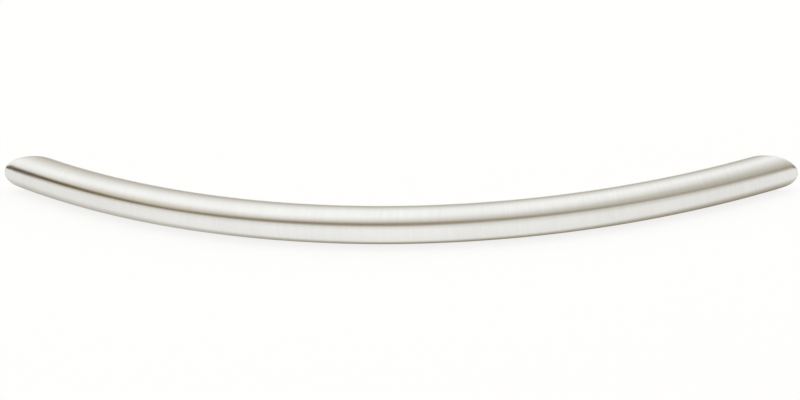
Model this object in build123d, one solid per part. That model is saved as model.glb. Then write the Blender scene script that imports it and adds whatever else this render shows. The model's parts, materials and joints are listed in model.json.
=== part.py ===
from build123d import *
from math import acos, degrees, radians, sqrt, tan
import os

# A bow handle for a drawer or a cabinet door. It is one solid round bar, bent to a single arc and
# cut off flat at both ends, so that each end stands on the front on a long oval face. Each oval
# face has a blind tapped hole, for a machine screw that comes through the front from behind.
#
# Millimetres. X runs along the handle, +Y points into the front and +Z is up. The oval faces lie
# in the seat plane, Y = 0, and the origin is in that plane, midway between the two holes.

# The bent bar
BAR_DIAMETER = 10.0
PROJECTION = 35.0  # from the seat plane to the outer skin, at the crest of the bow
RIM_RADIUS = 0.25  # the edge of each oval face, softened in polishing

# The screw holes
HOLE_SPACING = 192.0  # centre to centre, six steps of the 32 mm cabinet grid
HOLE_INSET = 1.5  # from where the bar's centreline meets the seat plane, inwards to the hole
THREAD_DIAMETER = 4.0
THREAD_PITCH = 0.7
MOUTH_MARGIN = 0.1  # the countersunk mouth is this much larger than the thread, all round
MOUTH_ANGLE = 90.0  # degrees, across the countersink
DRILL_POINT_ANGLE = 118.0  # degrees, across the cone that the drill leaves at the bottom
METAL_OVER_HOLE = 1.0  # between the end of the hole's wall and the outer skin of the bar

# What follows from them
bar_radius = BAR_DIAMETER / 2
hole_x = HOLE_SPACING / 2
half_chord = hole_x + HOLE_INSET
rise = PROJECTION - bar_radius  # of the centreline, from the seat plane to the crest
bow_radius = (half_chord**2 + rise**2) / (2 * rise)
bow_centre_y = bow_radius - rise
drill_radius = (THREAD_DIAMETER - THREAD_PITCH) / 2
mouth_radius = THREAD_DIAMETER / 2 + MOUTH_MARGIN


def half_sweep():
    """Degrees of arc from the crest to a bar's diameter past the toe, behind the seat plane."""
    toe = acos(bow_centre_y / (bow_radius + bar_radius))
    return degrees(toe + BAR_DIAMETER / bow_radius)


def bent_bar():
    """The round bar, swept along the bow and cut off flat in the seat plane."""
    arc = CenterArc((0, bow_centre_y, 0), bow_radius, 270 - half_sweep(), 2 * half_sweep())
    section = Plane(origin=arc @ 0, z_dir=arc % 0) * Circle(bar_radius)
    bar = split(sweep(section, path=arc), bisect_by=Plane.XZ, keep=Keep.TOP)
    rims = bar.edges().filter_by_position(Axis.Y, 0, 0)
    return fillet(rims, RIM_RADIUS)


def hole_depth():
    """How deep the hole's wall goes before it comes too near the outer skin, on the toe's side."""
    deepest_radius = bow_radius + bar_radius - METAL_OVER_HOLE
    return sqrt(deepest_radius**2 - (hole_x + drill_radius) ** 2) - bow_centre_y


def tapped_hole():
    """The metal that one hole takes out, on the Y axis, with its thread at the drill's size."""
    depth = hole_depth()
    mouth_depth = (mouth_radius - drill_radius) / tan(radians(MOUTH_ANGLE / 2))
    point_depth = drill_radius / tan(radians(DRILL_POINT_ANGLE / 2))
    half_profile = Polyline(
        (0, 0),
        (mouth_radius, 0),
        (drill_radius, -mouth_depth),
        (drill_radius, -depth),
        (0, -depth - point_depth),
        close=True,
    )
    return revolve(make_face(half_profile), Axis.Y)


def bow_handle():
    """The handle, which is one piece: the bent bar with its two holes."""
    handle = bent_bar()
    for x in (-hole_x, hole_x):
        handle -= Pos(x) * tapped_hole()
    return handle


os.makedirs("parts", exist_ok=True)
export_step(bow_handle(), "parts/bow_handle.step")
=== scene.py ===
"""A bow handle for a drawer or a cabinet door, in satin nickel, on a pale floor in a light tent.

The handle is one round bar, bent to a single arc. Its ends are cut off flat, so that each stands on
the front on a long oval seat, and each seat has a tapped hole in it. All is in metres, in the
frame's axes: X runs along the handle, +Y points into the front and +Z is up. The seats lie in the
plane Y = 0, and the origin is in that plane, midway between the two holes.
"""

from __future__ import annotations

import json
import logging
import math
from collections.abc import Callable, Mapping, Sequence
from dataclasses import dataclass, field
from enum import Enum

import bmesh
import bpy
from mathutils import Matrix, Vector

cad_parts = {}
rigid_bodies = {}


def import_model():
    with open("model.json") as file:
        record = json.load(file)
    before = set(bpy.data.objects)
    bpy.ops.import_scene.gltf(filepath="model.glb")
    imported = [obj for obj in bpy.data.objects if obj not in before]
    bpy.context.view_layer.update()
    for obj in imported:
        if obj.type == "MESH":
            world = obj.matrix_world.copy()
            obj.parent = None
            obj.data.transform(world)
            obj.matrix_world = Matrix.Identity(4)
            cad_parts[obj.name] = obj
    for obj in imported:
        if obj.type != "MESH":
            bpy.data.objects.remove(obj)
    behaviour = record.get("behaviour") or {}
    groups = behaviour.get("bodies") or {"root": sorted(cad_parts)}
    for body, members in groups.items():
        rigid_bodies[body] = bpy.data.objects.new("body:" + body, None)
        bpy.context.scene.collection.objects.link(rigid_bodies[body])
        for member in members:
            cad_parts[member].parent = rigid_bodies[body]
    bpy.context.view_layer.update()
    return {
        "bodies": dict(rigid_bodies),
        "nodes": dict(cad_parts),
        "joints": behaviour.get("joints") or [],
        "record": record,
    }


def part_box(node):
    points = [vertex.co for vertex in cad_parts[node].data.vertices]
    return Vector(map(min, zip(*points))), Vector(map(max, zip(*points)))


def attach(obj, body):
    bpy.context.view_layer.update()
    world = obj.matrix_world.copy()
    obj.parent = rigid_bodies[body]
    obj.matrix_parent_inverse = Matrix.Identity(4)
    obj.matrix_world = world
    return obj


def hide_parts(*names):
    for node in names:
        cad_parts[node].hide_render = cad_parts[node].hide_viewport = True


log = logging.getLogger("bow_handle")

Colour = tuple[float, float, float]
Triple = tuple[float, float, float]

CAD_NODE = "bow_handle"
BODY = "root"
MILLIMETRE = 0.001
QUARTER_TURN = 90.0  # degrees
HALF_TURN = 180.0  # degrees
WHITE: Colour = (1.0, 1.0, 1.0)
ROUNDING = 4  # decimals of a metre: the frame's facets fall a few microns short of the round bar


def put_in_scene(name: str, data: bpy.types.ID) -> bpy.types.Object:
    """Make an object and put it in the scene.

    Args:
        name: What it is called.
        data: Its mesh, lamp or camera.

    Returns:
        The object.
    """
    thing = bpy.data.objects.new(name, data)
    bpy.context.scene.collection.objects.link(thing)
    return thing


class Graph:
    """A node tree, with short calls that add nodes to it and join them."""

    def __init__(self, tree: bpy.types.NodeTree) -> None:
        """Keep the tree that the nodes go into, which makes a material or a mesh."""
        self.tree = tree

    def add(
        self, kind: str, inputs: Mapping[str | int, object] | None = None, **settings: object
    ) -> bpy.types.Node:
        """Add a node.

        Args:
            kind: The type name of the node.
            inputs: What goes into its sockets, by name or number.
            settings: The settings of the node itself.

        Returns:
            The new node.
        """
        node = self.tree.nodes.new(kind)
        for name, value in settings.items():
            setattr(node, name, value)
        for key, value in (inputs or {}).items():
            self.feed(node.inputs[key], value)
        return node

    def feed(self, socket: bpy.types.NodeSocket, value: object) -> None:
        """Put a value into a socket, or join another socket to it.

        Args:
            socket: The input that takes it.
            value: A Field, a socket or a plain value.
        """
        source = value.socket if isinstance(value, Field) else value
        if isinstance(source, bpy.types.NodeSocket):
            self.tree.links.new(source, socket)
        else:
            socket.default_value = source

    def split(self, vector: bpy.types.NodeSocket) -> tuple[Field, Field, Field]:
        """Take a vector apart into its X, Y and Z."""
        parts = self.add("ShaderNodeSeparateXYZ", {0: vector})
        return tuple(Field(self, socket) for socket in parts.outputs)

    def join(self, x: Value, y: Value, z: Value) -> bpy.types.NodeSocket:
        """Make a vector of three numbers."""
        return self.add("ShaderNodeCombineXYZ", {0: x, 1: y, 2: z}).outputs[0]

    def mix(self, share: Value, start: object, end: object) -> bpy.types.NodeSocket:
        """Mix two colours.

        Args:
            share: How much of the second one there is, from 0 to 1.
            start: The first colour, or the socket that gives it.
            end: The second one.

        Returns:
            The socket that gives the mixed colour.
        """
        node = self.add("ShaderNodeMix", {"Factor": share}, data_type="RGBA")
        colours = [socket for socket in node.inputs if socket.type == "RGBA"]
        for socket, colour in zip(colours, (start, end)):
            self.feed(socket, (*colour, 1.0) if isinstance(colour, tuple) else colour)
        return next(socket for socket in node.outputs if socket.type == "RGBA")

    def ramp(self, share: Value, tones: Sequence[tuple[float, Colour]]) -> bpy.types.NodeSocket:
        """Look a colour up on a scale.

        Args:
            share: Where on the scale, from 0 to 1.
            tones: Places on the scale, in their order, and the colour at each.

        Returns:
            The socket that gives the colour.
        """
        node = self.add("ShaderNodeValToRGB", {"Fac": share})
        points = node.color_ramp.elements
        while len(points) < len(tones):
            points.new(0.5)
        for point, (place, colour) in zip(points, tones):
            point.position = place
            point.color = (*colour, 1.0)
        return node.outputs["Color"]


class Field:
    """A number in a node tree, which can be reckoned with like a plain one."""

    def __init__(self, graph: Graph, socket: bpy.types.NodeSocket) -> None:
        """Keep the tree that the number is in, and the output that gives it."""
        self.graph = graph
        self.socket = socket

    def math(self, operation: str, *others: Value) -> Field:
        """Pass the number through a Math node.

        Args:
            operation: The name of the node's operation.
            others: The numbers that go in beside this one.

        Returns:
            What the node puts out.
        """
        inputs = dict(enumerate((self, *others)))
        node = self.graph.add("ShaderNodeMath", inputs, operation=operation)
        return Field(self.graph, node.outputs[0])

    def __add__(self, other: Value) -> Field:
        """The sum of two numbers."""
        return self.math("ADD", other)

    def __sub__(self, other: Value) -> Field:
        """This number less another."""
        return self.math("SUBTRACT", other)

    def __mul__(self, other: Value) -> Field:
        """The product of two numbers."""
        return self.math("MULTIPLY", other)

    def __truediv__(self, other: Value) -> Field:
        """This number over another."""
        return self.math("DIVIDE", other)

    def __neg__(self) -> Field:
        """The number with its sign turned round."""
        return self.math("MULTIPLY", -1.0)

    def sin(self) -> Field:
        """The sine of an angle."""
        return self.math("SINE")

    def cos(self) -> Field:
        """The cosine of an angle."""
        return self.math("COSINE")

    def acos(self) -> Field:
        """The angle that has this cosine."""
        return self.math("ARCCOSINE")

    def asin_degrees(self) -> Field:
        """The angle, in degrees, that has this sine."""
        return self.math("ARCSINE") * math.degrees(1.0)

    def over(self, other: Value) -> Field:
        """The angle whose tangent is this number over another, all the way round."""
        return self.math("ARCTAN2", other)

    def within(self, low: Value, high: Value) -> Field:
        """The number, kept between two limits."""
        return self.math("MAXIMUM", low).math("MINIMUM", high)

    def eased(self, low: Value, high: Value) -> Field:
        """Pass smoothly from 0, at a low number, to 1, at a high one.

        Args:
            low: Where the passage starts.
            high: Where it ends.

        Returns:
            The share of the passage that is done.
        """
        inputs = {"Value": self, "From Min": low, "From Max": high}
        node = self.graph.add("ShaderNodeMapRange", inputs, interpolation_type="SMOOTHSTEP")
        return Field(self.graph, node.outputs["Result"])


Value = Field | bpy.types.NodeSocket | float


class Surface(Enum):
    """The kinds of surface on the handle, by the number that marks their faces in the mesh."""

    SKIN = 0
    SEAT = 1
    THREAD = 2


class Coordinates(Enum):
    """Where a finish takes the place of its grain from."""

    UNBENT_BAR = "unbent_bar"
    OBJECT = "Object"


@dataclass(frozen=True)
class Grain:
    """The fine lines that a belt or a tool leaves in metal.

    Attributes:
        lines: How many lines there are in a metre, along each axis.
        depth: How deep the lines are.
        blotches: How many duller and brighter patches there are in a metre.
        blotch_share: How much of the change in gloss comes from the patches, from 0 to 1.
    """

    lines: Triple
    depth: float
    blotches: float = 60.0
    blotch_share: float = 0.4

    GROUP_NAME = "metal_grain"
    LINE_DETAIL = 4.0
    LINE_ROUGHNESS = 0.65
    BLOTCH_DETAIL = 2.0
    BRIGHT_LEVEL = 0.3  # of the noise, at which the metal is at its brightest
    DULL_LEVEL = 0.7

    @classmethod
    def group(cls) -> bpy.types.NodeTree:
        """Build the group that all the metal finishes share, or find it if it is built.

        Returns:
            The group. It puts out the height of the lines and a mask of where the metal is duller.
        """
        if cls.GROUP_NAME in bpy.data.node_groups:
            return bpy.data.node_groups[cls.GROUP_NAME]
        tree = bpy.data.node_groups.new(cls.GROUP_NAME, "ShaderNodeTree")
        sockets = tree.interface
        for name in ("Place", "Lines"):
            sockets.new_socket(name, in_out="INPUT", socket_type="NodeSocketVector")
        for name in ("Blotches", "Blotch Share"):
            sockets.new_socket(name, in_out="INPUT", socket_type="NodeSocketFloat")
        for name in ("Height", "Dullness"):
            sockets.new_socket(name, in_out="OUTPUT", socket_type="NodeSocketFloat")
        graph = Graph(tree)
        given = graph.add("NodeGroupInput").outputs
        drawn_out = graph.add(
            "ShaderNodeVectorMath", {0: given["Place"], 1: given["Lines"]}, operation="MULTIPLY"
        )
        lines = graph.add("ShaderNodeTexNoise", {
            "Vector": drawn_out.outputs[0],
            "Scale": 1.0,
            "Detail": cls.LINE_DETAIL,
            "Roughness": cls.LINE_ROUGHNESS,
        })
        blotches = graph.add("ShaderNodeTexNoise", {
            "Vector": given["Place"],
            "Scale": given["Blotches"],
            "Detail": cls.BLOTCH_DETAIL,
        })
        share = Field(graph, given["Blotch Share"])
        height = Field(graph, lines.outputs[0])
        dullness = height + (Field(graph, blotches.outputs[0]) - height) * share
        graph.add("NodeGroupOutput", {
            "Height": height,
            "Dullness": dullness.eased(cls.BRIGHT_LEVEL, cls.DULL_LEVEL),
        })
        return tree


@dataclass(frozen=True)
class Finish:
    """The finish of one kind of metal surface.

    Attributes:
        name: What the material is called.
        bright: The colour where the metal is clean.
        dull: The colour where it is duller.
        roughness: Its least roughness.
        roughness_spread: How much rougher it gets where it is duller.
        grain: The lines in it.
        coordinates: Where the grain's place comes from.
    """

    name: str
    bright: Colour
    dull: Colour
    roughness: float
    roughness_spread: float
    grain: Grain
    coordinates: Coordinates

    def material(self) -> bpy.types.Material:
        """Build the material.

        Returns:
            A metal material whose colour, gloss and bumps follow the grain.
        """
        material = bpy.data.materials.new(self.name)
        material.use_nodes = True
        graph = Graph(material.node_tree)
        shader = material.node_tree.nodes["Principled BSDF"]
        grain = graph.add("ShaderNodeGroup", {
            "Place": self._place(graph),
            "Lines": self.grain.lines,
            "Blotches": self.grain.blotches,
            "Blotch Share": self.grain.blotch_share,
        }, node_tree=Grain.group())
        dullness = Field(graph, grain.outputs["Dullness"])
        bump = graph.add(
            "ShaderNodeBump", {"Height": grain.outputs["Height"], "Distance": self.grain.depth}
        )
        graph.feed(shader.inputs["Base Color"], graph.mix(dullness, self.bright, self.dull))
        graph.feed(shader.inputs["Roughness"], dullness * self.roughness_spread + self.roughness)
        graph.feed(shader.inputs["Normal"], bump.outputs[0])
        shader.inputs["Metallic"].default_value = 1.0
        return material

    def _place(self, graph: Graph) -> bpy.types.NodeSocket:
        """Find the coordinates that the grain follows.

        Args:
            graph: The material's tree.

        Returns:
            The socket that gives them.
        """
        source = self.coordinates.value
        if self.coordinates is Coordinates.UNBENT_BAR:
            return graph.add("ShaderNodeAttribute", attribute_name=source).outputs["Vector"]
        return graph.add("ShaderNodeTexCoord").outputs[source]


SATIN_NICKEL = Finish(
    name="satin_nickel",
    bright=(0.875, 0.873, 0.846),
    dull=(0.818, 0.816, 0.790),
    roughness=0.19,
    roughness_spread=0.03,
    grain=Grain(lines=(3500.0, 120.0, 120.0), depth=2.0e-6),
    coordinates=Coordinates.UNBENT_BAR,
)
GROUND_SEAT = Finish(
    name="ground_seat",
    bright=(0.74, 0.73, 0.70),
    dull=(0.64, 0.63, 0.60),
    roughness=0.30,
    roughness_spread=0.14,
    grain=Grain(lines=(90.0, 90.0, 4200.0), depth=6.0e-6),
    coordinates=Coordinates.OBJECT,
)
CUT_THREAD = Finish(
    name="cut_thread",
    bright=(0.62, 0.61, 0.59),
    dull=(0.45, 0.44, 0.42),
    roughness=0.28,
    roughness_spread=0.12,
    grain=Grain(lines=(300.0, 9000.0, 300.0), depth=2.0e-6),
    coordinates=Coordinates.OBJECT,
)


@dataclass(frozen=True)
class TappedHole:
    """A blind hole with a countersunk mouth, a screw thread and the cone of the drill.

    Attributes:
        pitch: From one turn of the thread to the next.
        depth: From the seat to the end of the hole's wall.
        drill_radius: The radius inside the crests of the thread.
        thread_diameter: Across the roots of the thread.
        flank_angle: Degrees that each flank of the thread leans from square to the hole's axis.
        root_flat: The width of the flat at the thread's root, as a share of the pitch.
        mouth_margin: How much larger than the thread the mouth is, all round.
        point_angle: Degrees across the cone that the drill leaves.
        steps_a_turn: Rows of faces in one turn of the thread.
    """

    pitch: float
    depth: float
    drill_radius: float
    thread_diameter: float = 4.0 * MILLIMETRE
    flank_angle: float = 30.0
    root_flat: float = 0.125
    mouth_margin: float = 0.1 * MILLIMETRE
    point_angle: float = 118.0
    steps_a_turn: int = 16

    @property
    def mouth_radius(self) -> float:
        """The radius of the mouth, in the seat."""
        return self.thread_diameter / 2 + self.mouth_margin

    @property
    def point_depth(self) -> float:
        """How deep the drill's cone is, past the end of the wall."""
        return self.drill_radius / math.tan(math.radians(self.point_angle / 2))

    @property
    def rows(self) -> int:
        """Rows of faces in the wall, with one turn more, because they climb as they go round."""
        return math.ceil(self.steps_a_turn * (self.depth / self.pitch + 1))


@dataclass(frozen=True)
class BowHandle:
    """The handle: a round bar bent to one arc, with two oval seats that are cut flat and tapped.

    Attributes:
        bar_diameter: Across the round bar.
        projection: From the seat plane to the outer skin, at the crest of the bow.
        hole_spacing: From the centre of one hole to the centre of the other.
        hole: The form of each hole.
        hole_inset: From where the bar's centreline meets the seat plane, inwards to the hole.
        rim_radius: How far the edge of each seat is softened.
        steps_around: Faces round the bar.
        steps_along: Faces from the crest of the bow to one seat.
        steps_over_rim: Faces over the softened edge.
        steps_over_seat: Faces from the softened edge to the hole's mouth.
        steps_in_point: Faces from the wall of the hole to the tip of the drill's cone.
        sharp_angle: Degrees between two faces, past which their edge is shown sharp.
    """

    bar_diameter: float
    projection: float
    hole_spacing: float
    hole: TappedHole
    hole_inset: float = 1.5 * MILLIMETRE
    rim_radius: float = 0.25 * MILLIMETRE
    steps_around: int = 128
    steps_along: int = 120
    steps_over_rim: int = 8
    steps_over_seat: int = 4
    steps_in_point: int = 4
    sharp_angle: float = 28.0

    NAME = "bent_bar"
    MERGE_DISTANCE = 1.0e-6
    SURFACE_MARK = "surface"

    @classmethod
    def from_frame(cls, frame: dict) -> BowHandle:
        """Take the handle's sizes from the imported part.


        Returns:
            The handle.
        """
        low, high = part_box(CAD_NODE)
        mounts = {mount["name"]: mount for mount in frame["record"]["mounts"]}
        thread = mounts["right_thread"]
        drill_radius = thread["dims"]["r_mm"] * MILLIMETRE
        wall_middle = -thread["pos_m"][1]
        wall_length = thread["dims"]["length_mm"] * MILLIMETRE
        hole = TappedHole(
            pitch=TappedHole.thread_diameter - 2 * drill_radius,
            depth=wall_middle + wall_length / 2,
            drill_radius=drill_radius,
        )
        return cls(
            bar_diameter=round(high.z - low.z, ROUNDING),
            projection=round(high.y - low.y, ROUNDING),
            hole_spacing=mounts["screw_holes"]["dims"]["spacing_x_mm"] * MILLIMETRE,
            hole=hole,
        )

    @property
    def bar_radius(self) -> float:
        """The radius of the round bar."""
        return self.bar_diameter / 2

    @property
    def rise(self) -> float:
        """How far the bar's centreline is from the seat plane, at the crest of the bow."""
        return self.projection - self.bar_radius

    @property
    def bow_radius(self) -> float:
        """The radius of the bar's centreline."""
        half_chord = self.hole_spacing / 2 + self.hole_inset
        return (half_chord**2 + self.rise**2) / (2 * self.rise)

    @property
    def bow_centre(self) -> float:
        """How far behind the seat plane the bow's centre lies."""
        return self.bow_radius - self.rise

    def sizes(self) -> dict[str, float | int]:
        """List the sizes that the geometry tree takes in.

        Returns:
            The value of each input, by its name.
        """
        return {
            "Bar Radius": self.bar_radius,
            "Bow Radius": self.bow_radius,
            "Bow Centre": self.bow_centre,
            "Rim Radius": self.rim_radius,
            "Hole Place": self.hole_spacing / 2,
            "Mouth Radius": self.hole.mouth_radius,
            "Thread Radius": self.hole.thread_diameter / 2,
            "Drill Radius": self.hole.drill_radius,
            "Pitch": self.hole.pitch,
            "Hole Depth": self.hole.depth,
            "Point Depth": self.hole.point_depth,
            "Steps Around": self.steps_around,
            "Steps Along": self.steps_along,
            "Steps Over Rim": self.steps_over_rim,
            "Steps Over Seat": self.steps_over_seat,
            "Steps In Point": self.steps_in_point,
            "Steps A Turn": self.hole.steps_a_turn,
            "Thread Rows": self.hole.rows,
        }

    def build(self, finishes: Mapping[Surface, bpy.types.Material]) -> bpy.types.Object:
        """Grow the handle's mesh and make an object of it.

        Args:
            finishes: The material of each kind of surface.

        Returns:
            The handle, as one plain mesh.
        """
        handle = put_in_scene(self.NAME, bpy.data.meshes.new(self.NAME))
        modifier = handle.modifiers.new("bow", "NODES")
        modifier.node_group = BowTree(self, finishes).tree
        inputs = modifier.node_group.interface.items_tree
        for name, value in self.sizes().items():
            modifier[inputs[name].identifier] = value
        shown = handle.evaluated_get(bpy.context.evaluated_depsgraph_get())
        handle.data = bpy.data.meshes.new_from_object(shown)
        handle.data.name = self.NAME
        handle.modifiers.remove(modifier)
        self._turn_faces_out(handle.data)
        return handle

    def _turn_faces_out(self, mesh: bpy.types.Mesh) -> None:
        """Point every face outwards, and make sure that the mesh is closed.

        Args:
            mesh: The handle's mesh.
        """
        work = bmesh.new()
        work.from_mesh(mesh)
        bmesh.ops.recalc_face_normals(work, faces=work.faces)
        if work.calc_volume(signed=True) < 0:
            bmesh.ops.reverse_faces(work, faces=work.faces)
        closed = all(edge.is_manifold for edge in work.edges)
        volume = work.calc_volume()
        work.to_mesh(mesh)
        work.free()
        triangles = sum(len(polygon.vertices) - 2 for polygon in mesh.polygons)
        log.info("bar: %d triangles, %.1f mm3 inside", triangles, volume / MILLIMETRE**3)
        if not closed:
            raise ValueError("the handle's mesh isn't closed")


class BowTree:
    """The geometry tree that grows the handle's surface from its sizes.

    Each patch of the surface is a grid whose points are laid out by a formula, from how far they
    are round the bar and along the patch. Neighbouring patches share their edges.
    """

    def __init__(self, handle: BowHandle, finishes: Mapping[Surface, bpy.types.Material]) -> None:
        """Build the tree.

        Args:
            handle: The handle, for its sizes and for the angles of its thread and sharp edges.
            finishes: The material of each kind of surface.
        """
        self.tree = bpy.data.node_groups.new("bow_handle_surface", "GeometryNodeTree")
        self.graph = Graph(self.tree)
        self.handle = handle
        sockets = self.tree.interface
        sockets.new_socket("Geometry", in_out="OUTPUT", socket_type="NodeSocketGeometry")
        for name, value in handle.sizes().items():
            kind = "NodeSocketInt" if isinstance(value, int) else "NodeSocketFloat"
            sockets.new_socket(name, in_out="INPUT", socket_type=kind).default_value = value
        given = self.graph.add("NodeGroupInput").outputs
        self.size = {name: Field(self.graph, given[name]) for name in handle.sizes()}
        half = self.join_geometry([
            self.patch(Surface.SKIN, "Steps Along", self.skin),
            self.patch(Surface.SKIN, "Steps Over Rim", self.rim),
            self.patch(Surface.SEAT, "Steps Over Seat", self.seat),
            self.patch(Surface.THREAD, "Thread Rows", self.thread),
            self.patch(Surface.THREAD, "Steps In Point", self.drill_point),
        ])
        self.finish(self.both_halves(half), finishes)

    def patch(
        self, surface: Surface, steps: str, place: Callable[[Field, Field], bpy.types.NodeSocket]
    ) -> bpy.types.NodeSocket:
        """Lay out one patch of the surface.

        Args:
            surface: The kind of surface that it is.
            steps: The input that says how many faces it has along it.
            place: Gives a point's place from its angle round the bar and its share along the patch.

        Returns:
            The socket that gives the patch.
        """
        grid = self.graph.add("GeometryNodeMeshGrid", {
            "Size X": 1.0,
            "Size Y": 1.0,
            "Vertices X": self.size["Steps Around"] + 1.0,
            "Vertices Y": self.size[steps] + 1.0,
        })
        x, y, _ = self.graph.split(self.graph.add("GeometryNodeInputPosition").outputs[0])
        around = (x + 0.5) * math.tau  # the grid goes from -0.5 to 0.5
        along = y + 0.5
        moved = self.graph.add("GeometryNodeSetPosition", {
            "Geometry": grid.outputs["Mesh"],
            "Position": place(around, along),
        })
        inputs = {
            "Geometry": moved.outputs[0],
            "Name": self.handle.SURFACE_MARK,
            "Value": surface.value,
        }
        return self.graph.add(
            "GeometryNodeStoreNamedAttribute", inputs, data_type="INT", domain="FACE"
        ).outputs[0]

    def inner_radius(self) -> Field:
        """How far from the bar's centreline the ball that softens the rim runs."""
        return self.size["Bar Radius"] - self.size["Rim Radius"]

    def cut(self, around: Field) -> tuple[Field, Field]:
        """Find where the ball that softens the rim touches the bar.

        Args:
            around: The angle round the bar, from its outer side.

        Returns:
            The radius of the ball's path about the bow's centre, and how far round the bow it is.
        """
        ring = self.size["Bow Radius"] + self.inner_radius() * around.cos()
        turn = ((self.size["Bow Centre"] + self.size["Rim Radius"]) / ring).acos()
        return ring, turn

    def skin(self, around: Field, along: Field) -> bpy.types.NodeSocket:
        """Lay out the round bar, from the crest of the bow to the softened rim.

        Args:
            around: The angle round the bar, from its outer side.
            along: The share of the way from the crest to the rim.

        Returns:
            The point's place.
        """
        _, turn_at_cut = self.cut(around)
        turn = turn_at_cut * along
        ring = self.size["Bow Radius"] + self.size["Bar Radius"] * around.cos()
        y = self.size["Bow Centre"] - ring * turn.cos()
        return self.graph.join(ring * turn.sin(), y, self.size["Bar Radius"] * around.sin())

    def rim(self, around: Field, along: Field) -> bpy.types.NodeSocket:
        """Lay out the softened edge, which turns from skin to seat about the ball's centre.

        Args:
            around: The angle round the bar, from its outer side.
            along: The share of the way from the skin to the seat.

        Returns:
            The point's place.
        """
        ring, turn = self.cut(around)
        out_x = around.cos() * turn.sin()
        out_y = -(around.cos() * turn.cos())
        bend = out_y.acos()
        from_skin = (bend - bend * along).sin() / bend.sin() * self.size["Rim Radius"]
        from_seat = (bend * along).sin() / bend.sin() * self.size["Rim Radius"]
        x = ring * turn.sin() + out_x * from_skin
        y = out_y * from_skin + from_seat - self.size["Rim Radius"]
        z = around.sin() * (self.inner_radius() + from_skin)
        return self.graph.join(x, y, z)

    def seat(self, around: Field, along: Field) -> bpy.types.NodeSocket:
        """Lay out the flat oval seat.

        Args:
            around: The angle round the bar, and round the hole.
            along: The share of the way from the softened edge to the mouth of the hole.

        Returns:
            The point's place.
        """
        ring, turn = self.cut(around)
        edge_x = ring * turn.sin()
        edge_z = self.inner_radius() * around.sin()
        mouth_x = self.size["Hole Place"] + self.size["Mouth Radius"] * around.cos()
        mouth_z = self.size["Mouth Radius"] * around.sin()
        x = edge_x + (mouth_x - edge_x) * along
        z = edge_z + (mouth_z - edge_z) * along
        return self.graph.join(x, 0.0, z)

    def in_hole(self, around: Field, radius: Field, depth: Field) -> bpy.types.NodeSocket:
        """Place a point in the hole, at an angle and a radius about its axis and a depth."""
        x = self.size["Hole Place"] + around.cos() * radius
        return self.graph.join(x, -depth, around.sin() * radius)

    def thread(self, around: Field, along: Field) -> bpy.types.NodeSocket:
        """Lay out the countersunk mouth and the threaded wall.

        Args:
            around: The angle round the hole.
            along: The share of the rows of faces, each of which climbs one pitch as it goes round.

        Returns:
            The point's place.
        """
        hole = self.handle.hole
        pitch = self.size["Pitch"]
        turns = along * self.size["Thread Rows"] / self.size["Steps A Turn"]
        depth = (turns + around / math.tau - 1.0) * pitch
        depth = depth.within(0.0, self.size["Hole Depth"])
        tooth = self.size["Thread Radius"] - self.size["Drill Radius"]
        flank = tooth * math.tan(math.radians(hole.flank_angle))
        half_flat = pitch * (hole.root_flat / 2)
        from_root = (turns.math("FRACT") - 0.5).math("ABSOLUTE") * pitch
        share = (flank + half_flat - from_root) / flank
        run_out = ((self.size["Hole Depth"] - depth) / pitch).within(0.0, 1.0)
        radius = self.size["Drill Radius"] + share.within(0.0, 1.0) * tooth * run_out
        countersink = self.size["Mouth Radius"] - depth
        return self.in_hole(around, radius.math("MAXIMUM", countersink), depth)

    def drill_point(self, around: Field, along: Field) -> bpy.types.NodeSocket:
        """Lay out the cone that the drill leaves at the bottom of the hole.

        Args:
            around: The angle round the hole.
            along: The share of the way from the wall to the tip.

        Returns:
            The point's place.
        """
        radius = self.size["Drill Radius"] * (-along + 1.0)
        depth = self.size["Hole Depth"] + self.size["Point Depth"] * along
        return self.in_hole(around, radius, depth)

    def join_geometry(self, parts: list[bpy.types.NodeSocket]) -> bpy.types.NodeSocket:
        """Put meshes together.

        Args:
            parts: The sockets that give them.

        Returns:
            The socket that gives them as one.
        """
        node = self.graph.add("GeometryNodeJoinGeometry")
        for part in parts:
            self.tree.links.new(part, node.inputs[0])
        return node.outputs[0]

    def both_halves(self, half: bpy.types.NodeSocket) -> bpy.types.NodeSocket:
        """Add the other half, turned half round about Y, so that both threads stay right-handed.

        Args:
            half: The half that lies on the +X side.

        Returns:
            The whole surface, with the points of neighbouring patches made one.
        """
        turned = self.graph.add(
            "GeometryNodeTransform", {"Geometry": half, "Rotation": (0.0, math.pi, 0.0)}
        )
        whole = self.join_geometry([half, turned.outputs[0]])
        inputs = {"Geometry": whole, "Distance": self.handle.MERGE_DISTANCE}
        return self.graph.add("GeometryNodeMergeByDistance", inputs).outputs[0]

    def unbent_place(self) -> bpy.types.NodeSocket:
        """Find where each point of the handle would lie if the bar were straight.

        Returns:
            Its length along the centreline from the crest, and its place in the bar's section.
        """
        x, y, z = self.graph.split(self.graph.add("GeometryNodeInputPosition").outputs[0])
        before = self.size["Bow Centre"] - y
        ring = (x * x + before * before).math("SQRT")
        length = x.over(before) * self.size["Bow Radius"]
        return self.graph.join(length, ring - self.size["Bow Radius"], z)

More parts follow.
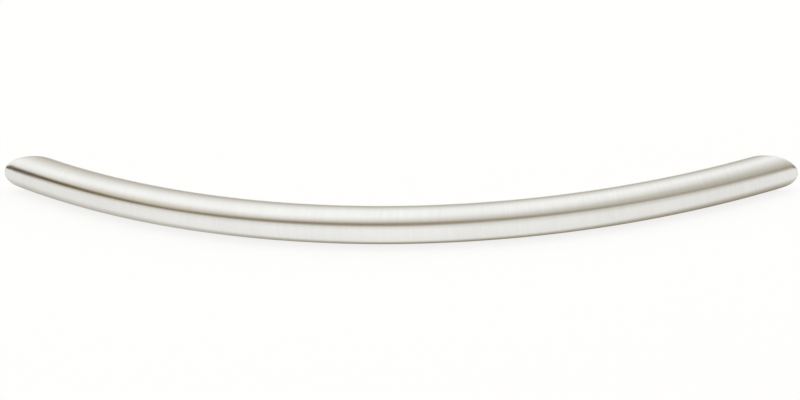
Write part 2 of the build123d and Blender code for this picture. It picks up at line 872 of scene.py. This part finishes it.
    def finish(
        self, whole: bpy.types.NodeSocket, finishes: Mapping[Surface, bpy.types.Material]
    ) -> None:
        """Shade the surface, store its unbent place and give each kind of face its material.

        Args:
            whole: The socket that gives the surface.
            finishes: The material of each kind of surface.
        """
        inputs = {
            "Geometry": whole,
            "Name": Coordinates.UNBENT_BAR.value,
            "Value": self.unbent_place(),
        }
        stored = self.graph.add(
            "GeometryNodeStoreNamedAttribute", inputs, data_type="FLOAT_VECTOR", domain="POINT"
        )
        smooth = self.graph.add("GeometryNodeSetShadeSmooth", {0: stored.outputs[0]}, domain="FACE")
        angle = Field(self.graph, self.graph.add("GeometryNodeInputMeshEdgeAngle").outputs[0])
        sharp = angle.math("GREATER_THAN", math.radians(self.handle.sharp_angle))
        edged = self.graph.add(
            "GeometryNodeSetShadeSmooth",
            {0: smooth.outputs[0], "Selection": sharp, "Shade Smooth": False},
            domain="EDGE",
        )
        geometry = self.graph.add("GeometryNodeRealizeInstances", {0: edged.outputs[0]}).outputs[0]
        mark = self.graph.add(
            "GeometryNodeInputNamedAttribute", {"Name": self.handle.SURFACE_MARK}, data_type="INT"
        )
        for surface, material in finishes.items():
            whole_numbers = {2: surface.value, 3: mark.outputs[0]}
            chosen = self.graph.add(
                "FunctionNodeCompare", whole_numbers, data_type="INT", operation="EQUAL"
            )
            geometry = self.graph.add("GeometryNodeSetMaterial", {
                "Geometry": geometry, "Selection": chosen.outputs[0], "Material": material,
            }).outputs[0]
        self.graph.add("NodeGroupOutput", {"Geometry": geometry})


GREEN_LOSS = 0.3  # how much green dim cloth loses, as a share of the blue that it loses


def cloth(level: float, warmth: float = 0.3) -> Colour:
    """Give the colour of white cloth, which looks the warmer, the less light it gets.

    Args:
        level: How bright it is.
        warmth: The share of blue that it loses where it is dark.

    Returns:
        The colour.
    """
    dimness = max(0.0, 1.0 - level)
    green = level * (1.0 - GREEN_LOSS * warmth * dimness)
    return (level, green, level * (1.0 - warmth * dimness))


@dataclass(frozen=True)
class Side:
    """The tent toward one side.

    Attributes:
        bearing: Degrees from straight ahead to that side, less than 0 to the left.
        front: Its tones from the front horizon to past the top.
        back: Its tones from there down to the back horizon.
    """

    bearing: float
    front: tuple[Colour, ...]
    back: tuple[Colour, ...] = (
        cloth(1.10), cloth(1.00), cloth(0.84, 0.5), cloth(0.58, 0.4), cloth(0.52, 0.4),
    )


@dataclass(frozen=True)
class SlitPlace:
    """The form and colour of the tent's slit at one bearing.

    Attributes:
        bearing: Degrees from straight ahead, less than 0 to the left.
        rise: Degrees that the slit has climbed there.
        core: Degrees from its middle to where it starts to get lighter.
        edge: Degrees from its middle to where the cloth is as bright as elsewhere.
        colour: What the tent gives off in its middle.
    """

    bearing: float
    rise: float
    core: float
    edge: float
    colour: Colour


@dataclass(frozen=True)
class Slit:
    """The gap between two cloths across the front of the tent, where the dark room shows.

    The bar mirrors it as the dark line along its front.

    Attributes:
        height: Degrees from the horizon up to the middle of the gap, straight ahead.
        places: Its form and colour from left to right, with an even passage from each to the next.
    """

    height: float = 28.5
    places: tuple[SlitPlace, ...] = (
        SlitPlace(-82.0, rise=1.0, core=4.7, edge=9.0, colour=(0.08, 0.03, 0.00)),
        SlitPlace(-78.0, rise=6.3, core=4.0, edge=7.0, colour=(0.05, 0.02, 0.00)),
        SlitPlace(-76.0, rise=7.5, core=3.5, edge=6.0, colour=(0.03, 0.01, 0.00)),
        SlitPlace(-66.0, rise=8.0, core=4.0, edge=13.0, colour=(0.12, 0.07, 0.00)),
        SlitPlace(-50.0, rise=0.0, core=1.0, edge=9.0, colour=(0.19, 0.12, 0.06)),
        SlitPlace(-10.0, rise=0.0, core=5.0, edge=15.0, colour=(0.33, 0.27, 0.18)),
        SlitPlace(30.0, rise=1.5, core=1.0, edge=8.0, colour=(0.37, 0.31, 0.22)),
        SlitPlace(47.0, rise=2.3, core=2.0, edge=11.5, colour=(0.42, 0.37, 0.29)),
        SlitPlace(53.0, rise=0.9, core=2.0, edge=12.0, colour=(0.42, 0.37, 0.29)),
        SlitPlace(62.0, rise=0.0, core=4.0, edge=12.0, colour=(0.28, 0.22, 0.14)),
    )

    def cut_in(
        self, tone: bpy.types.NodeSocket, up: Field, front: Field, bearing: Field
    ) -> bpy.types.NodeSocket:
        """Cut the gap in the cloth.

        Args:
            tone: The colour of the whole cloth in some direction.
            up: How far the direction goes up, of a length of 1.
            front: How far it goes to the front.
            bearing: Degrees to the side.

        Returns:
            The colour of the cloth or of the gap.
        """
        graph = bearing.graph
        place = (bearing + QUARTER_TURN) / HALF_TURN
        form = graph.ramp(place, self._over_bearings(
            lambda at: (at.rise / QUARTER_TURN, at.core / QUARTER_TURN, at.edge / QUARTER_TURN)
        ))
        rise, core, edge = (size * QUARTER_TURN for size in graph.split(form))
        tilt = math.radians(self.height)
        above = (up * math.cos(tilt) - front * math.sin(tilt)).asin_degrees()
        share = (above - rise).math("ABSOLUTE").eased(edge, core)
        dark = graph.ramp(place, self._over_bearings(lambda at: at.colour))
        return graph.mix(share, tone, dark)

    def _over_bearings(self, value: Callable[[SlitPlace], Triple]) -> list[tuple[float, Triple]]:
        """List three numbers of each place, on a scale from 0 at the left to 1 at the right."""
        return [((at.bearing + QUARTER_TURN) / HALF_TURN, value(at)) for at in self.places]


@dataclass(frozen=True)
class LightTent:
    """A dome of white cloth about the table, lit from outside.

    Attributes:
        radius: How far the cloth is from the handle.
        rows: Rows of faces from its lowest point to its highest. Twice as many go round it.
        turn: Degrees that the tent is turned to the left, seen from above.
        level: How bright the whole tent is, as a share of its tones.
        heights: Degrees from the front horizon, over the top, at which each side has a tone.
        sides: Its sides from left to right, with a smooth passage from each to the next.
        slit: The gap across the front.
    """

    radius: float = 1.5
    rows: int = 24
    turn: float = 5.0
    level: float = 0.935
    heights: tuple[float, ...] = (
        0.0, 20.0, 40.0, 55.0, 75.0, 100.0, 115.0, 130.0, 145.0, 165.0, 180.0,
    )
    sides: tuple[Side, ...] = (
        Side(-60.0, front=(
            cloth(0.92), cloth(0.80, 0.6), cloth(0.60, 0.8),
            cloth(0.66, 0.7), cloth(0.84, 0.5), cloth(1.14),
        )),
        Side(-25.0, front=(
            cloth(1.02), cloth(0.82, 0.5), cloth(0.66, 0.6),
            cloth(0.97), cloth(1.17), cloth(1.15),
        ), back=(
            cloth(1.09), cloth(0.92, 0.5), cloth(0.72, 0.5), cloth(0.50, 0.4), cloth(0.50, 0.4),
        )),
        Side(0.0, front=(
            cloth(0.98), cloth(0.80, 0.4), cloth(0.62, 0.4),
            cloth(0.86), cloth(1.08), cloth(1.14),
        )),
        Side(38.0, front=(
            cloth(0.90), cloth(0.74, 0.4), cloth(0.55, 0.4),
            cloth(0.58, 0.4), cloth(0.76, 0.4), cloth(0.94),
        )),
    )
    slit: Slit = field(default_factory=Slit)

    def build(self) -> bpy.types.Object:
        """Make the dome, which the camera itself doesn't see.

        Returns:
            The dome.
        """
        work = bmesh.new()
        bmesh.ops.create_uvsphere(
            work, u_segments=2 * self.rows, v_segments=self.rows, radius=self.radius
        )
        mesh = bpy.data.meshes.new("light_tent")
        work.to_mesh(mesh)
        work.free()
        mesh.materials.append(self._material())
        tent = put_in_scene("light_tent", mesh)
        tent.visible_camera = False
        return tent

    def _material(self) -> bpy.types.Material:
        """Build the cloth's material, whose tone follows the direction from the handle.

        Returns:
            A material that only gives off light.
        """
        material = bpy.data.materials.new("tent_cloth")
        material.use_nodes = True
        graph = Graph(material.node_tree)
        graph.tree.nodes.clear()
        place = graph.add("ShaderNodeTexCoord").outputs["Object"]
        turn = {"Vector": place, "Angle": math.radians(-self.turn)}
        turned = graph.add("ShaderNodeVectorRotate", turn, rotation_type="Z_AXIS")
        towards = graph.add("ShaderNodeVectorMath", {0: turned.outputs[0]}, operation="NORMALIZE")
        side, back, up = graph.split(towards.outputs[0])
        over = up.over(-back) / math.pi
        bearing = side.asin_degrees()
        tone = graph.ramp(over, self._tones(self.sides[0]))
        for near, far in zip(self.sides, self.sides[1:]):
            share = bearing.eased(near.bearing, far.bearing)
            tone = graph.mix(share, tone, graph.ramp(over, self._tones(far)))
        tone = self.slit.cut_in(tone, up, -back, bearing)
        light = graph.add("ShaderNodeEmission", {"Color": tone, "Strength": self.level})
        graph.add("ShaderNodeOutputMaterial", {"Surface": light.outputs[0]})
        return material

    def _tones(self, side: Side) -> list[tuple[float, Colour]]:
        """List one side's tones, each after its place as a share of the way over."""
        tones = zip(self.heights, side.front + side.back, strict=True)
        return [(height / HALF_TURN, tone) for height, tone in tones]


@dataclass(frozen=True)
class ShadePlace:
    """Painted shade and tone that the metal sees on the floor at one place along the handle.

    Attributes:
        along: The place, from -1 at the left screw hole to 1 at the right one.
        reach: How far the painted shade goes to each side of the line where the bar touches the
            floor,
        in radii of the bar.
        blur: How far in from there it has its full depth, in the same measure.
        depth: How deep it is there, from 0 to 1.
        open_tone: How bright the open floor is painted there, for the metal only.
    """

    along: float
    reach: float
    blur: float
    depth: float
    open_tone: float


@dataclass(frozen=True)
class Floor:
    """The pale floor, which shows white and keeps a soft shadow of the handle.

    The metal's lower edge mirrors the floor under the bar, where little light gets in. There a
    painted shade makes the floor darker for the metal only, the more so toward the right, away from
    the brighter side. In the open, a painted tone makes it brightest for the metal beside the
    middle of the handle.

    Attributes:
        handle: The handle that lies on it.
        reach: How far it goes to each side.
        colour: Its own colour, a warm white.
        shade: The colour of the painted shade that the metal sees under the bar.
        whiteness: The share of plain colour in what the camera and the metal see of it.
        shade_places: The painted shade and painted tone that the metal sees, from left to right.
    """

    handle: BowHandle
    reach: float = 20.0
    colour: Colour = (0.97, 0.96, 0.94)
    # the colour of the painted shade under the bar, which only the metal sees
    shade: Colour = (0.275, 0.222, 0.115)
    whiteness: float = 0.8
    # painted shade under the bar and painted tone of the open floor, both seen by the metal only
    shade_places: tuple[ShadePlace, ...] = (
        ShadePlace(-1.0, reach=1.8, blur=1.6, depth=0.7, open_tone=0.89),
        ShadePlace(-0.5, reach=1.2, blur=0.6, depth=0.6, open_tone=0.98),
        ShadePlace(0.0, reach=0.92, blur=0.42, depth=0.95, open_tone=1.0),
        ShadePlace(0.5, reach=1.05, blur=0.6, depth=0.95, open_tone=0.94),
        ShadePlace(1.0, reach=1.6, blur=1.2, depth=0.95, open_tone=0.89),
    )

    def build(self) -> bpy.types.Object:
        """Make the floor.

        Returns:
            The floor, as one flat face.
        """
        mesh = bpy.data.meshes.new("floor")
        level = -self.handle.bar_radius
        reach = self.reach
        outline = [(-reach, -reach), (reach, -reach), (reach, reach), (-reach, reach)]
        mesh.from_pydata([(x, y, level) for x, y in outline], [], [(0, 1, 2, 3)])
        mesh.materials.append(self._material())
        floor = put_in_scene("floor", mesh)
        return floor

    def _material(self) -> bpy.types.Material:
        """Build the floor's material.

        Returns:
            A matt material with some plain colour in it for what looks at it directly, and with a
            painted shade and a painted tone in what the metal sees of it.
        """
        material = bpy.data.materials.new("pale_floor")
        material.use_nodes = True
        graph = Graph(material.node_tree)
        graph.tree.nodes.clear()
        path = graph.add("ShaderNodeLightPath").outputs
        seen = Field(graph, path["Is Camera Ray"]) + path["Is Glossy Ray"]
        seen = (seen + path["Is Transmission Ray"]).within(0.0, 1.0)
        x, y, _ = graph.split(graph.add("ShaderNodeTexCoord").outputs["Object"])
        place = x / self.handle.hole_spacing + 0.5
        # painted light and shade: the open floor is painted brightest for the metal beside the
        # middle of the handle, dimmer toward its ends
        open_tone = graph.ramp(place, self._along_handle(lambda at: (at.open_tone,) * 3))
        # painted shade under the bar, deeper toward the right, which only the metal sees
        painted_for_metal = graph.mix(self._shaded(x, y, place), open_tone, self.shade)
        plain = graph.mix(path["Is Glossy Ray"], WHITE, painted_for_metal)
        mix = graph.add("ShaderNodeMixShader", {
            0: seen * self.whiteness,
            1: graph.add("ShaderNodeBsdfDiffuse", {"Color": (*self.colour, 1.0)}).outputs[0],
            2: graph.add("ShaderNodeEmission", {"Color": plain}).outputs[0],
        })
        graph.add("ShaderNodeOutputMaterial", {"Surface": mix.outputs[0]})
        return material

    def _shaded(self, x: Field, y: Field, place: Field) -> Field:
        """Find how deep in the painted shade under the bar each spot of the floor lies.

        Args:
            x: The spot's X.
            y: The spot's Y.
            place: Its place between the screw holes, from 0 at the left one to 1.

        Returns:
            The depth of the painted shade, from 0 in the open to 1.
        """
        before = -y + self.handle.bow_centre
        ring = (x * x + before * before).math("SQRT")
        away = (ring - self.handle.bow_radius).math("ABSOLUTE") / self.handle.bar_radius
        forms = self._along_handle(lambda at: (at.reach, at.blur, at.depth))
        reach, blur, depth = x.graph.split(x.graph.ramp(place, forms))
        return away.eased(reach, reach - blur) * depth

    def _along_handle(self, value: Callable[[ShadePlace], Triple]) -> list[tuple[float, Triple]]:
        """List three numbers of each place, on a scale from the left screw hole to the right."""
        return [((at.along + 1.0) / 2.0, value(at)) for at in self.shade_places]


@dataclass(frozen=True)
class FloorLamp:
    """A broad lamp over the table, which lights the floor and doesn't show in the metal.

    Attributes:
        height: How high it hangs.
        width: Its side.
        watts: Its power.
    """

    height: float = 1.2
    width: float = 1.0
    watts: float = 4.0

    def build(self) -> bpy.types.Object:
        """Hang the lamp.

        Returns:
            The lamp.
        """
        lamp = bpy.data.lights.new("floor_lamp", "AREA")
        lamp.size = self.width
        lamp.energy = self.watts
        holder = put_in_scene("floor_lamp", lamp)
        holder.location = (0.0, 0.0, self.height)
        holder.visible_glossy = False
        return holder


@dataclass(frozen=True)
class ProductCamera:
    """A long lens that looks down on the front of the handle from a little to the right.

    Attributes:
        azimuth: Degrees that the camera stands to the right of square on.
        elevation: Degrees that it looks down.
        roll: Degrees that it is turned clockwise about its own axis.
        distance: From the lens to the frame's origin, along the view.
        sight: How far it sees, which takes in the whole floor.
        pixels_a_metre: The scale of the picture at the origin.
        image_width: The width of the picture in pixels.
        image_height: Its height in pixels.
        origin_column: The column in which the frame's origin is seen, counted from the left.
        origin_row: The row in which it is seen, counted from the top.
        sensor_width: The width of the camera's sensor in millimetres.
    """

    azimuth: float = 11.16
    elevation: float = 26.77
    roll: float = 5.08
    distance: float = 2.5
    sight: float = 100.0
    pixels_a_metre: float = 3811.8
    image_width: float = 800.0
    image_height: float = 400.0
    origin_column: float = 398.47
    origin_row: float = 172.33
    sensor_width: float = 36.0

    def build(self) -> bpy.types.Object:
        """Set the camera up and make it the scene's own.

        Returns:
            The camera.
        """
        lens = bpy.data.cameras.new("product_camera")
        lens.sensor_width = self.sensor_width
        lens.lens = self.pixels_a_metre * self.distance / self.image_width * self.sensor_width
        lens.clip_end = self.sight
        camera = put_in_scene("product_camera", lens)
        camera.matrix_world = self._placement()
        bpy.context.scene.camera = camera
        return camera

    def _placement(self) -> Matrix:
        """Work out where the camera stands and how it is turned.

        Returns:
            The camera's matrix.
        """
        turned = Matrix.Rotation(math.radians(self.azimuth), 4, "Z")
        turned @= Matrix.Rotation(math.radians(QUARTER_TURN - self.elevation), 4, "X")
        turned @= Matrix.Rotation(math.radians(-self.roll), 4, "Z")
        across = (self.image_width / 2 - self.origin_column) / self.pixels_a_metre
        down = (self.image_height / 2 - self.origin_row) / self.pixels_a_metre
        return turned @ Matrix.Translation((across, -down, self.distance))


@dataclass(frozen=True)
class Studio:
    """All that stands round the handle: its floor, its light and the camera.

    Attributes:
        floor: The floor.
        tent: The tent about the table.
        lamp: The lamp over the floor.
        camera: The camera.
    """

    floor: Floor
    tent: LightTent = field(default_factory=LightTent)
    lamp: FloorLamp = field(default_factory=FloorLamp)
    camera: ProductCamera = field(default_factory=ProductCamera)

    def build(self) -> None:
        """Set the studio up, with a white world past the tent."""
        for part in (self.floor, self.tent, self.lamp, self.camera):
            log.info("studio: %s", part.build().name)
        world = bpy.data.worlds.new("white_room")
        world.use_nodes = True
        world.node_tree.nodes["Background"].inputs["Color"].default_value = (*WHITE, 1.0)
        scene = bpy.context.scene
        scene.world = world
        scene.view_settings.view_transform = "Standard"


def main() -> None:
    """Load the frame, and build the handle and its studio."""
    logging.basicConfig(level=logging.INFO, format="%(name)s: %(message)s")
    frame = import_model()
    handle = BowHandle.from_frame(frame)
    finishes = {
        Surface.SKIN: SATIN_NICKEL.material(),
        Surface.SEAT: GROUND_SEAT.material(),
        Surface.THREAD: CUT_THREAD.material(),
    }
    bar = handle.build(finishes)
    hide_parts(CAD_NODE)
    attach(bar, BODY)
    log.info("piece: %s on %s", bar.name, BODY)
    Studio(floor=Floor(handle)).build()


if __name__ == "__main__":
    main()
